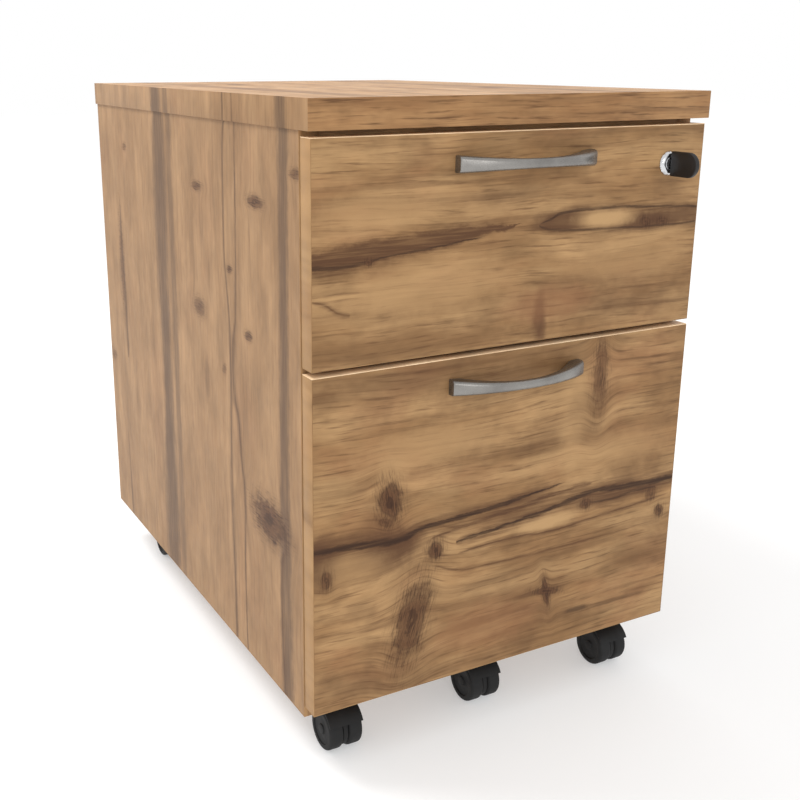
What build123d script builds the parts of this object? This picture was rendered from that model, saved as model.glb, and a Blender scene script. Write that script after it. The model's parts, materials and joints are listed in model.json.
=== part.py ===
from build123d import *
from math import cos, floor, radians, sin
import os

# Rolling pedestal cabinet with a box drawer over a filing drawer.
# Millimetres. The floor is z = 0, the front faces -Y, +X is to the right of a person facing it.

# Top panel and carcass
top_width = 422.0
top_depth = 600.0
top_thickness = 25.0
top_height = 610.0          # floor to the upper face
board = 18.0                # sides, base, back and drawer fronts
side_overhang = 2.0         # top past each side panel
back_overhang = 1.0         # top past the back panel
front_overhang = 2.0        # top past the drawer fronts
cross_rail_depth = 80.0     # board under the top, at the front

# Drawer fronts
front_inset = 2.5           # fronts in from each end of the top
front_gap = 5.0             # under the top and between the fronts
top_front_height = 190.0
front_lift = 11.0           # carcass underside to the lower front's bottom edge
buffer_gap = 1.0            # back of the fronts to the carcass

# Drawer boxes
box_board = 12.0            # sides and back of a drawer box
box_bottom = 8.0            # drawer bottom
box_groove = 5.0            # depth of the groove that holds the bottom
box_groove_lift = 10.0      # lower edge of a drawer side to its groove
box_lift = 14.0             # lower edge of a front to the lower edge of its box
top_box_headroom = 60.0     # top edge of a front to the top edge of its box
bottom_box_headroom = 50.0
file_rail_gauge = 1.0
file_rail_lip = 10.0        # rail above the drawer side
file_rail_skirt = 14.0      # rail below the top edge of the drawer side

# Telescopic runners
runner_width = 12.7
runner_height = 45.0
runner_setback = 20.0       # carcass front edge to the runner
runner_step = 50.0          # runners are made in steps of this length
runner_rear_room = 10.0     # least room between runner and back panel
runner_lift = 36.0          # lower edge of a drawer side to the runner's middle
runner_stop_length = 20.0   # rail that stays nested at full travel
rail_gauge = 1.2
rail_pitch = 3.2            # raceway between nested rails
middle_rail_offset = 2.4    # cabinet side panel to the middle rail's web
cabinet_lip_short = 4.0     # cabinet rail's lips stop short of the drawer
middle_lip_short = 1.2      # middle rail's lips stop short of the drawer rail
drawer_lip_short = 0.8      # drawer rail's lips stop short of the middle rail
ball_radius = 1.35
cage_gauge = 0.8
cage_width = 5.2
cage_end_room = 15.0        # rail end, or rail middle, to the end of a cage
outer_cage_offset = 2.0     # web to the middle of a cage
inner_cage_offset = 3.3
cage_hole_play = 0.2
balls_per_cage = 5
rail_screws_per_rail = 3

# Bow handles
handle_length = 146.0
handle_spacing = 128.0      # between the two screws
handle_reach = 29.0         # drawer face to the front of the bow
handle_bar = 6.5            # thickness of the bow in its middle
handle_foot = 13.0          # width of each foot on the drawer face
handle_end = 8.0            # depth of the flat outer end of each foot
handle_end_height = 15.0
handle_waist_height = 8.6
handle_drop = 26.0          # top edge of the front to the handle's middle
handle_front_round = 3.6
handle_back_round = 2.2
handle_end_round = 1.2

# Lock and key
lock_from_edge = 42.0       # right edge of the front to the lock's axis
lock_drop = 35.5            # top edge of the front to the lock's axis
rosette_radius = 11.5
rosette_rim = 1.0
rosette_height = 3.5
rosette_face_radius = 9.2
barrel_radius = 9.0
plug_radius = 6.2
plug_play = 0.05
plug_proud = 0.5
key_head_gap = 1.1
key_head_length = 31.9
key_head_height = 23.0
key_head_thickness = 4.6
key_head_round = 1.2
blade_thickness = 2.2
blade_height = 7.6
blade_depth = 16.0          # blade inside the plug
cam_thickness = 2.5
cam_radius = 7.0
crank_radius = 15.0         # lock axis to the crank pin
crank_pin_radius = 2.0
crank_pin_length = 7.5
crank_arm_wall = 1.5        # around the crank pin
crank_angle = 45.0          # crank below the level at rest, above it when locked
slot_play = 0.8

# Central locking bar in a groove of the right side panel
groove_depth = 5.0
groove_width = 14.0
groove_setback = 3.0        # carcass front edge to the groove
bar_play = 0.4
bar_thickness = 3.6
bar_low_room = 22.0         # base panel to the bar's lower end at rest
bar_high_room = 29.0        # top panel to the bar's upper end at rest
flange_thickness = 2.5
flange_height = 17.0
flange_wall = 2.2
catch_pin_radius = 3.0
catch_pin_overlap = 3.0     # catch pin past the face of the catch
catch_lift = 91.0           # lower edge of a drawer side to its catch
catch_length = 8.0
catch_height = 16.0
catch_play = 1.0
catch_gap = 7.0             # side panel to the face of the catch
guide_gauge = 1.2
guide_height = 14.0
guide_overlap = 2.5
guide_low_lift = 50.0       # base panel to the lowest guide
guide_catch_lifts = (60.0, 15.0)   # each catch to the guide above it

# Twin-wheel castors
wheel_radius = 21.0
wheel_width = 14.5
wheel_spacing = 6.0         # between the two wheels
wheel_edge = 3.0
wheel_rim = 6.0             # around the dished face
wheel_dish = 1.2
wheel_hub_radius = 5.0
castor_trail = 18.0         # kingpin to axle
castor_side_inset = 45.0    # outer face of the side to the kingpin
castor_front_inset = 39.0   # carcass front edge to the front kingpins
castor_rear_inset = 65.0    # carcass back edge to the rear kingpins
plate_size = 38.0
plate_thickness = 2.5
plate_corner = 4.0
plate_gap = 8.0             # top of the hood to the plate
plate_hole_spacing = 29.0
kingpin_radius = 4.0
kingpin_in_hood = 4.0       # kingpin below the top of the hood
race_radius = 10.0
race_height = 2.2
running_play = 0.3
hood_shell = 1.7
hood_clearance = 0.8
hood_skirt = 11.0           # lower edge of the hood above the axle
web_play = 0.6
axle_radius = 3.0
web_edge = 2.0              # tread of the wheels to the edge of the web between them
axle_end_wall = 3.0         # wheel's closed face outside the axle
shaft_play = 0.05
drawer_castor_setback = 44.0   # carcass front edge to the middle castor's kingpin
drawer_castor_floor_gap = 1.0

# Bracket that carries the middle castor under the filing drawer
bracket_gauge = 2.0
bracket_half_width = 27.0
bracket_half_length = 24.0
bracket_flange = 12.0
notch_play = 6.0            # bracket flange to the notch in the base panel

# Fasteners
screw_radius = 1.75
screw_length = 13.0
screw_head_radius = 3.4
screw_head_height = 0.8
machine_screw_radius = 2.0
machine_head_radius = 4.0
machine_head_height = 2.4
machine_grip = 7.0          # machine screw inside the handle's foot
dowel_radius = 4.0
dowel_length = 32.0
dowel_in_face = 12.0        # part of a dowel that enters a board's face
cam_disc_radius = 7.5
cam_disc_depth = 13.0
cam_disc_setback = 34.0     # board's end to the middle of the cam
cam_bolt_radius = 3.0
cam_bolt_in_face = 11.0
dowel_share = 0.16          # of a joint's length, from each end
cam_share = 0.26
back_dowel_shares = (0.2, 0.5, 0.8)
cross_rail_dowel_shares = (0.4, 0.8)
fit_play = 0.05

# Planes worked out from the sizes above
key_reach = rosette_height + plug_proud + key_head_gap + key_head_length
total_depth = top_depth + key_reach - front_overhang
y_top_front = total_depth / 2 - top_depth
y_face = y_top_front + front_overhang
y_front_back = y_face + board
y_carcass = y_front_back + buffer_gap
y_back = y_top_front + top_depth - back_overhang
y_back_inner = y_back - board
x_side = top_width / 2 - side_overhang
x_inner = x_side - board
hood_radius = wheel_radius + hood_clearance + hood_shell
hood_half_width = wheel_spacing / 2 + wheel_width
kingpin_length = plate_gap + kingpin_in_hood
castor_height = wheel_radius + hood_radius + plate_gap + plate_thickness
z_base = castor_height    # underside of the carcass
z_base_top = z_base + board
z_under_top = top_height - top_thickness
x_front = top_width / 2 - front_inset
z_top_front = z_under_top - front_gap - top_front_height
z_bottom_front = z_base + front_lift
z_top_front_high = z_top_front + top_front_height
z_bottom_front_high = z_top_front - front_gap
top_box_height = top_front_height - box_lift - top_box_headroom
bottom_box_height = z_bottom_front_high - z_bottom_front - box_lift - bottom_box_headroom
x_box = x_inner - runner_width
y_rail = y_carcass + runner_setback
runner_length = runner_step * floor((y_back_inner - runner_rear_room - y_rail) / runner_step)
y_box_back = y_rail + runner_length
x_lock = x_front - lock_from_edge
z_lock = z_top_front_high - lock_drop
y_bar = y_carcass + groove_setback + groove_width / 2
crank_drop = crank_radius * sin(radians(crank_angle))
bar_travel = 2 * crank_drop
z_boxes = (z_bottom_front + box_lift, z_top_front + box_lift)
rail_half = runner_height / 2
middle_half = rail_half - rail_gauge - rail_pitch
drawer_rail_half = middle_half - rail_gauge - rail_pitch


def box(x0, x1, y0, y1, z0, z1):
    size = Box(x1 - x0, y1 - y0, z1 - z0, align=(Align.MIN, Align.MIN, Align.MIN))
    return Pos(x0, y0, z0) * size


def rod(start, direction, radius, length):
    bar = Cylinder(radius, length, align=(Align.CENTER, Align.CENTER, Align.MIN))
    return Plane(origin=start, z_dir=direction) * bar


def group(pieces):
    return Compound([solid for piece in pieces for solid in piece.solids()])


def side_box(side, x0, x1, y0, y1, z0, z1):
    """A box between x0 and x1 on the right, or its mirror image on the left."""
    low, high = sorted((side * x0, side * x1))
    return box(low, high, y0, y1, z0, z1)


# Fasteners of the carcass

def wood_screw(seat, direction):
    head = rod(seat, tuple(-d for d in direction), screw_head_radius, screw_head_height)
    return head + rod(seat, direction, screw_radius, screw_length)


def screw_hole(seat, direction):
    return rod(seat, direction, screw_radius + fit_play, screw_length + fit_play)


plate_half_spacing = plate_hole_spacing / 2
castor_points = [
    ("rear_left", -1, y_back - castor_rear_inset),
    ("rear_right", 1, y_back - castor_rear_inset),
    ("front_left", -1, y_carcass + castor_front_inset),
    ("front_right", 1, y_carcass + castor_front_inset),
]
x_castor = x_side - castor_side_inset

plate_screw_seats = [
    (side * x_castor + dx * plate_half_spacing, y + dy * plate_half_spacing, z_base - plate_thickness)
    for _, side, y in castor_points for dx in (-1, 1) for dy in (-1, 1)
]
rail_screw_ys = [
    y_rail + runner_length * (step + 0.5) / rail_screws_per_rail for step in range(rail_screws_per_rail)
]
rail_screw_seats = [
    (side, (side * (x_inner - rail_gauge), y, z_box + runner_lift))
    for z_box in z_boxes for side in (-1, 1) for y in rail_screw_ys
]


def cabinet_screws():
    pieces = [wood_screw(seat, (0, 0, 1)) for seat in plate_screw_seats]
    pieces += [wood_screw(seat, (side, 0, 0)) for side, seat in rail_screw_seats]
    return group(pieces)


# Dowels and cam fittings: each is (start in the face, direction out of it)

carcass_depth = y_back - y_carcass
top_joint_ys = (y_carcass + dowel_share * carcass_depth, y_back - dowel_share * carcass_depth)
cam_joint_ys = (y_carcass + cam_share * carcass_depth, y_back - cam_share * carcass_depth)
x_side_middle = x_side - board / 2
z_base_middle = z_base + board / 2
y_back_middle = y_back - board / 2
carcass_height = z_under_top - z_base
back_joint_zs = [z_base + carcass_height * share for share in back_dowel_shares]

dowel_places = [((side * x_side_middle, y, z_under_top + dowel_in_face), (0, 0, -1))
                for side in (-1, 1) for y in top_joint_ys]
dowel_places += [((side * (x_inner + dowel_in_face), y, z_base_middle), (-side, 0, 0))
                 for side in (-1, 1) for y in top_joint_ys]
dowel_places += [((side * (x_inner + dowel_in_face), y_back_middle, z), (-side, 0, 0))
                 for side in (-1, 1) for z in back_joint_zs]
z_cross_rail_middle = z_under_top - board / 2
cross_rail_dowel_ys = [y_carcass + share * cross_rail_depth for share in cross_rail_dowel_shares]
dowel_places += [((side * (x_inner + dowel_in_face), y, z_cross_rail_middle), (-side, 0, 0))
                 for side in (-1, 1) for y in cross_rail_dowel_ys]

cam_bolt_length = cam_bolt_in_face + cam_disc_setback
cam_places = [((side * x_side_middle, y, z_under_top + cam_bolt_in_face), (0, 0, -1),
               (side * x_inner, y, z_under_top - cam_disc_setback), (side, 0, 0))
              for side in (-1, 1) for y in cam_joint_ys]
cam_places += [((side * (x_inner + cam_bolt_in_face), y, z_base_middle), (-side, 0, 0),
                (side * (x_inner - cam_disc_setback), y, z_base), (0, 0, 1))
               for side in (-1, 1) for y in cam_joint_ys]


def panel_dowels():
    return group([rod(start, way, dowel_radius, dowel_length) for start, way in dowel_places])


def panel_cams():
    pieces = []
    for start, way, disc_start, disc_way in cam_places:
        bolt = rod(start, way, cam_bolt_radius, cam_bolt_length)
        socket = rod(start, way, cam_bolt_radius + fit_play, cam_bolt_length + fit_play)
        pieces += [bolt, rod(disc_start, disc_way, cam_disc_radius, cam_disc_depth) - socket]
    return group(pieces)


def drilled(panel):
    """Takes the holes for dowels, cams and bolts out of a carcass board."""
    for start, way in dowel_places:
        panel -= rod(start, way, dowel_radius + fit_play, dowel_length + fit_play)
    for start, way, disc_start, disc_way in cam_places:
        panel -= rod(start, way, cam_bolt_radius + fit_play, cam_bolt_length + fit_play)
        panel -= rod(disc_start, disc_way, cam_disc_radius + fit_play, cam_disc_depth + fit_play)
    return panel


# Carcass

def top_panel():
    return drilled(box(-top_width / 2, top_width / 2, y_top_front, y_top_front + top_depth,
                       z_under_top, top_height))


def bar_groove():
    y0 = y_carcass + groove_setback
    return box(x_inner, x_inner + groove_depth, y0, y0 + groove_width, z_base_top, z_under_top)


def side_panel(side):
    panel = drilled(side_box(side, x_inner, x_side, y_carcass, y_back, z_base, z_under_top))
    for screw_side, seat in rail_screw_seats:
        if screw_side == side:
            panel -= screw_hole(seat, (side, 0, 0))
    return panel - bar_groove() if side > 0 else panel


def cross_rail():
    return drilled(box(-x_inner, x_inner, y_carcass, y_carcass + cross_rail_depth,
                       z_under_top - board, z_under_top))


def back_panel():
    return drilled(box(-x_inner, x_inner, y_back_inner, y_back, z_base, z_under_top))


y_drawer_castor = y_carcass + drawer_castor_setback


def base_panel():
    panel = box(-x_inner, x_inner, y_carcass, y_back_inner, z_base, z_base_top)
    notch_half = bracket_half_width + bracket_flange + notch_play
    notch_end = y_drawer_castor + bracket_half_length + notch_play
    panel -= box(-notch_half, notch_half, y_carcass, notch_end, z_base, z_base_top)
    for seat in plate_screw_seats:
        panel -= screw_hole(seat, (0, 0, 1))
    return drilled(panel)


# Telescopic runners: rails nest towards the drawer, open sides facing each other

def channel(side, web_x, lip_x, half_height, z):
    """A rail with its web at web_x, its lips reaching to lip_x, both measured from the side panel."""
    web_far = web_x + rail_gauge if lip_x > web_x else web_x - rail_gauge
    y1 = y_rail + runner_length
    web = side_box(side, x_inner - web_x, x_inner - web_far, y_rail, y1, z - half_height, z + half_height)
    for up in (-1, 1):
        z0, z1 = sorted((z + up * half_height, z + up * (half_height - rail_gauge)))
        web += side_box(side, x_inner - web_x, x_inner - lip_x, y_rail, y1, z0, z1)
    return web


cabinet_lip_end = runner_width - cabinet_lip_short
middle_lip_end = runner_width - rail_gauge - middle_lip_short
drawer_lip_start = middle_rail_offset + rail_gauge + drawer_lip_short


def cabinet_rails():
    rails = []
    for z_box in z_boxes:
        z = z_box + runner_lift
        for side in (-1, 1):
            rail = channel(side, 0.0, cabinet_lip_end, rail_half, z)
            for screw_side, seat in rail_screw_seats:
                if screw_side == side and seat[2] == z:
                    rail -= rod((side * (x_inner - rail_gauge), seat[1], z), (side, 0, 0),
                                screw_radius + fit_play, rail_gauge)
            rails.append(rail)
    return group(rails)


def middle_rails(z_box):
    z = z_box + runner_lift
    return group([channel(side, middle_rail_offset, middle_lip_end, middle_half, z) for side in (-1, 1)])


def drawer_rails(z_box):
    z = z_box + runner_lift
    return group([channel(side, runner_width, drawer_lip_start, drawer_rail_half, z) for side in (-1, 1)])


def ball_cages(z_box):
    """Outer cages run at the rear half of the middle rail, inner cages at its front half."""
    z = z_box + runner_lift
    cage_length = runner_length / 2 - 2 * cage_end_room
    outer = (middle_rail_offset + rail_gauge + outer_cage_offset, middle_half + rail_pitch / 2,
             y_rail + runner_length / 2 + cage_end_room)
    inner = (drawer_lip_start + inner_cage_offset, drawer_rail_half + rail_pitch / 2, y_rail + cage_end_room)
    pieces = []
    for x_ball, height, y0 in (outer, inner):
        for side in (-1, 1):
            for up in (-1, 1):
                z_row = z + up * height
                x_mid = x_inner - x_ball
                cage = side_box(side, x_mid - cage_width / 2, x_mid + cage_width / 2, y0, y0 + cage_length,
                                z_row - cage_gauge / 2, z_row + cage_gauge / 2)
                for step in range(balls_per_cage):
                    y = y0 + cage_length * (step + 0.5) / balls_per_cage
                    cage -= rod((side * x_mid, y, z_row - cage_gauge), (0, 0, 1),
                                ball_radius + cage_hole_play, 2 * cage_gauge)
                    pieces.append(Pos(side * x_mid, y, z_row) * Sphere(ball_radius))
                pieces.append(cage)
    return group(pieces)


# Drawers

handle_screw_x = handle_spacing / 2


def handle_screw_holes(z_high):
    z = z_high - handle_drop
    length = board + machine_grip + fit_play
    return [rod((side * handle_screw_x, y_front_back, z), (0, -1, 0), machine_screw_radius + fit_play, length)
            for side in (-1, 1)]


def drawer_front(z_low, z_high):
    front = box(-x_front, x_front, y_face, y_front_back, z_low, z_high)
    for hole in handle_screw_holes(z_high):
        front -= hole
    return front


def top_drawer_front():
    bore = rod((x_lock, y_face, z_lock), (0, 1, 0), barrel_radius + fit_play, board)
    return drawer_front(z_top_front, z_top_front_high) - bore


def bottom_drawer_front():
    return drawer_front(z_bottom_front, z_bottom_front_high)


def drawer_bottom(z_box):
    z0 = z_box + box_groove_lift
    half = x_box - box_board + box_groove
    return box(-half, half, y_front_back, y_box_back, z0, z0 + box_bottom)


def drawer_sides(z_box, height):
    sides = [side_box(side, x_box - box_board, x_box, y_front_back, y_box_back, z_box, z_box + height)
             for side in (-1, 1)]
    return group([side - drawer_bottom(z_box) for side in sides])


def drawer_back(z_box, height):
    half = x_box - box_board
    return box(-half, half, y_box_back - box_board, y_box_back,
               z_box + box_groove_lift + box_bottom, z_box + height)


def file_rails():
    z = z_boxes[0] + bottom_box_height
    x_in = x_box - box_board
    y0, y1 = y_front_back, y_box_back - box_board
    rails = []
    for side in (-1, 1):
        hook = side_box(side, x_in - file_rail_gauge, x_in, y0, y1, z - file_rail_skirt, z + file_rail_lip)
        rails.append(hook + side_box(side, x_in, x_box, y0, y1, z, z + file_rail_gauge))
    return group(rails)


# Bow handle: a band in plan, waisted in front view, with rounded front edges

def handle(z_high):
    half = handle_length / 2
    y_bow = y_face - handle_reach
    y_end = y_face - handle_end
    inner_half = half - handle_foot
    outer = ThreePointArc((-half, y_end), (0, y_bow), (half, y_end))
    inner = ThreePointArc((inner_half, y_face), (0, y_bow + handle_bar), (-inner_half, y_face))
    ends = [Line((half, y_end), (half, y_face)), Line((half, y_face), (inner_half, y_face)),
            Line((-inner_half, y_face), (-half, y_face)), Line((-half, y_face), (-half, y_end))]
    plan = make_face(Curve() + [outer, ends[0], ends[1], inner, ends[2], ends[3]])
    z = z_high - handle_drop
    band = Pos(0, 0, z - handle_end_height) * extrude(plan, 2 * handle_end_height)

    low, waist = handle_end_height / 2, handle_waist_height / 2
    rim = [ThreePointArc((-half, z + low), (0, z + waist), (half, z + low)),
           Line((half, z + low), (half, z - low)),
           ThreePointArc((half, z - low), (0, z - waist), (-half, z - low)),
           Line((-half, z - low), (-half, z + low))]
    view = Plane(origin=(0, y_face, 0), x_dir=(1, 0, 0), z_dir=(0, -1, 0))
    outline = extrude(view * make_face(Curve() + rim), 2 * handle_reach)
    bow = band & outline
    long_edges = [edge for edge in bow.edges() if edge.length > 2 * inner_half]
    bow = fillet([edge for edge in long_edges if edge.length > handle_length], handle_front_round)
    old_middles = [edge.center() for edge in long_edges if edge.length <= handle_length]
    back_edges = [edge for edge in bow.edges()
                  if any((edge.center() - middle).length < handle_end_round for middle in old_middles)]
    bow = fillet(back_edges, handle_back_round)
    end_edges = [edge for edge in bow.edges().filter_by(Axis.Z)
                 if abs(edge.center().X) > inner_half and edge.center().Y < y_face - handle_end_round]
    bow = fillet(end_edges, handle_end_round)
    for hole in handle_screw_holes(z_high):
        bow -= hole
    return bow


def handle_screws(z_high):
    screws = []
    for side in (-1, 1):
        seat = (side * handle_screw_x, y_front_back, z_high - handle_drop)
        head = rod(seat, (0, 1, 0), machine_head_radius, machine_head_height)
        screws.append(head + rod(seat, (0, -1, 0), machine_screw_radius, board + machine_grip))
    return group(screws)


# Lock

def lock_housing():
    axis = (x_lock, y_face, z_lock)
    rim = rod(axis, (0, -1, 0), rosette_radius, rosette_rim)
    cone = Cone(rosette_radius, rosette_face_radius, rosette_height - rosette_rim,
                align=(Align.CENTER, Align.CENTER, Align.MIN))
    start = (x_lock, y_face - rosette_rim, z_lock)
    barrel = rod(axis, (0, 1, 0), barrel_radius, board + buffer_gap - running_play)
    bore_start = (x_lock, y_face - rosette_height, z_lock)
    bore = rod(bore_start, (0, 1, 0), plug_radius + plug_play, rosette_height + board + buffer_gap)
    return rim + Plane(origin=start, z_dir=(0, -1, 0)) * cone + barrel - bore


y_plug_face = y_face - rosette_height - plug_proud


def keyway(play):
    half_t, half_h = blade_thickness / 2 + play, blade_height / 2 + play
    return box(x_lock - half_t, x_lock + half_t, y_plug_face, y_plug_face + blade_depth + play,
               z_lock - half_h, z_lock + half_h)


def lock_plug():
    start = (x_lock, y_plug_face, z_lock)
    return rod(start, (0, 1, 0), plug_radius, y_carcass - y_plug_face) - keyway(fit_play)


def key_blade():
    shank = box(x_lock - blade_thickness / 2, x_lock + blade_thickness / 2,
                y_plug_face - key_head_gap, y_plug_face, z_lock - blade_height / 2, z_lock + blade_height / 2)
    return shank + keyway(0)


def key_head():
    """A flat moulded head with a square inner end and a round outer end."""
    y0 = y_plug_face - key_head_gap
    radius = key_head_height / 2
    half = key_head_thickness / 2
    y_round = y0 - key_head_length + radius
    body = box(x_lock - half, x_lock + half, y_round, y0, z_lock - radius, z_lock + radius)
    body += rod((x_lock - half, y_round, z_lock), (1, 0, 0), radius, key_head_thickness)
    rim = [edge for edge in body.edges() if edge.center().X != x_lock and edge.length > key_head_height]
    return fillet(rim, key_head_round)


def lock_cam():
    """A plate on the plug's rear end with a crank pin for the locking bar."""
    x_pin = x_lock + crank_radius * cos(radians(crank_angle))
    z_pin = z_lock - crank_drop
    arm_half = crank_pin_radius + crank_arm_wall
    arm = Box(crank_radius, cam_thickness, 2 * arm_half, align=(Align.MIN, Align.MIN, Align.CENTER))
    cam = Pos(x_lock, y_carcass, z_lock) * Rot(0, crank_angle, 0) * arm
    cam += rod((x_lock, y_carcass, z_lock), (0, 1, 0), cam_radius, cam_thickness)
    cam += rod((x_pin, y_carcass, z_pin), (0, 1, 0), arm_half, cam_thickness)
    return cam + rod((x_pin, y_carcass, z_pin), (0, 1, 0), crank_pin_radius, cam_thickness + crank_pin_length)


def locking_bar():
    x0 = x_inner + bar_play
    half_width = groove_width / 2 - bar_play
    bar = box(x0, x0 + bar_thickness, y_bar - half_width, y_bar + half_width,
              z_base_top + bar_low_room, z_under_top - bar_high_room)
    z_pin = z_lock - crank_drop
    slot_half = crank_pin_radius + slot_play
    slot_x0 = x_lock + crank_radius * cos(radians(crank_angle)) - slot_half
    slot_x1 = x_lock + crank_radius + slot_half
    y0 = y_carcass + cam_thickness + crank_pin_length / 2
    flange = box(slot_x0 - flange_wall, x0, y0, y0 + flange_thickness,
                 z_pin - flange_height / 2, z_pin + flange_height / 2)
    flange -= box(slot_x0, slot_x1, y0, y0 + flange_thickness, z_pin - slot_half, z_pin + slot_half)
    bar += flange
    for z_box in z_boxes:
        z = z_box + catch_lift - bar_travel
        reach = catch_gap + bar_play + catch_pin_overlap
        bar += rod((x0, y_bar, z), (-1, 0, 0), catch_pin_radius, reach)
    return bar


def drawer_catch(z_box):
    """A block on the drawer's right side that the bar's pin stops when it is raised."""
    y0 = y_bar + catch_pin_radius + catch_play
    z = z_box + catch_lift
    return box(x_box, x_inner - catch_gap, y0, y0 + catch_length,
               z - catch_height / 2, z + catch_height / 2)


guide_zs = [z_base_top + guide_low_lift]
guide_zs += [z_box + catch_lift + lift for z_box, lift in zip(z_boxes, guide_catch_lifts)]


def locking_bar_guides():
    half = groove_width / 2 + guide_overlap
    return group([box(x_inner - guide_gauge, x_inner, y_bar - half, y_bar + half,
                      z - guide_height / 2, z + guide_height / 2) for z in guide_zs])


# Castors, placed by kingpin (x, y) and by how far they are lifted off the floor

def castor_plate(x, y, lift):
    z_plate = castor_height - plate_thickness + lift
    half = plate_size / 2
    plate = box(x - half, x + half, y - half, y + half, z_plate, z_plate + plate_thickness)
    plate = fillet(plate.edges().filter_by(Axis.Z), plate_corner)
    for dx in (-1, 1):
        for dy in (-1, 1):
            seat = (x + dx * plate_half_spacing, y + dy * plate_half_spacing, z_plate)
            plate -= rod(seat, (0, 0, 1), screw_radius + fit_play, plate_thickness)
    plate += rod((x, y, z_plate), (0, 0, -1), race_radius, race_height)
    return plate + rod((x, y, z_plate), (0, 0, -1), kingpin_radius, kingpin_length)


def castor_hood(x, y, lift):
    y_axle, z_axle = y - castor_trail, wheel_radius + lift
    half_web = wheel_spacing / 2 - web_play
    z_boss = castor_height - plate_thickness - race_height - running_play + lift
    z_pin = castor_height - plate_thickness - kingpin_length - running_play + lift

    def barrel(x0, x1, radius):
        return rod((x + x0, y_axle, z_axle), (1, 0, 0), radius, x1 - x0)

    hood = barrel(-hood_half_width, hood_half_width, hood_radius)
    hood -= box(x - hood_radius, x + hood_radius, y_axle - hood_radius, y_axle + hood_radius,
                z_axle - hood_radius, z_axle + hood_skirt)
    hood += rod((x, y, z_axle + hood_skirt), (0, 0, 1), race_radius, z_boss - z_axle - hood_skirt)
    for x0, x1 in ((-hood_radius, -half_web), (half_web, hood_radius)):
        hood -= barrel(x0, x1, wheel_radius + hood_clearance)
    hood += barrel(-half_web, half_web, wheel_radius - web_edge)
    hood -= rod((x, y, z_pin), (0, 0, 1), kingpin_radius + shaft_play, kingpin_length + race_height)
    return hood - barrel(-hood_half_width, hood_half_width, axle_radius + fit_play)


def castor_axle(x, y, lift):
    half = wheel_spacing / 2 + wheel_width - axle_end_wall
    return rod((x - half, y - castor_trail, wheel_radius + lift), (1, 0, 0), axle_radius, 2 * half)


def castor_wheel(x, y, lift, side):
    """A solid wheel with rounded edges, a dished outer face and a blind bore."""
    y_axle, z_axle = y - castor_trail, wheel_radius + lift
    x0 = x + side * wheel_spacing / 2
    wheel = rod((x0, y_axle, z_axle), (side, 0, 0), wheel_radius, wheel_width)
    rims = [edge for edge in wheel.edges().filter_by(GeomType.CIRCLE)]
    wheel = fillet(rims, wheel_edge)
    dish_start = (x0 + side * wheel_width, y_axle, z_axle)
    dish = rod(dish_start, (-side, 0, 0), wheel_radius - wheel_rim, wheel_dish)
    dish -= rod(dish_start, (-side, 0, 0), wheel_hub_radius, wheel_dish)
    bore_depth = wheel_width - axle_end_wall + running_play
    bore = rod((x0, y_axle, z_axle), (side, 0, 0), axle_radius + shaft_play, bore_depth)
    return wheel - dish - bore


def castor_nodes(name, x, y, lift):
    return {
        name + "_castor_hood": castor_hood(x, y, lift),
        name + "_castor_axle": castor_axle(x, y, lift),
        name + "_castor_left_wheel": castor_wheel(x, y, lift, -1),
        name + "_castor_right_wheel": castor_wheel(x, y, lift, 1),
    }


def drawer_castor_bracket():
    """A hat-shaped bracket under the drawer bottom with the middle castor's plate and kingpin."""
    z0 = castor_height + drawer_castor_floor_gap
    z1 = z_boxes[0] + box_groove_lift
    y0, y1 = y_drawer_castor - bracket_half_length, y_drawer_castor + bracket_half_length
    half = bracket_half_width
    bracket = box(-half, half, y0, y1, z0, z0 + bracket_gauge)
    for side in (-1, 1):
        bracket += side_box(side, half - bracket_gauge, half, y0, y1, z0, z1)
        bracket += side_box(side, half - bracket_gauge, half + bracket_flange, y0, y1, z1 - bracket_gauge, z1)
    return bracket + castor_plate(0, y_drawer_castor, drawer_castor_floor_gap)


def castor_plates():
    return group([castor_plate(side * x_castor, y, 0) for _, side, y in castor_points])


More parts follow.
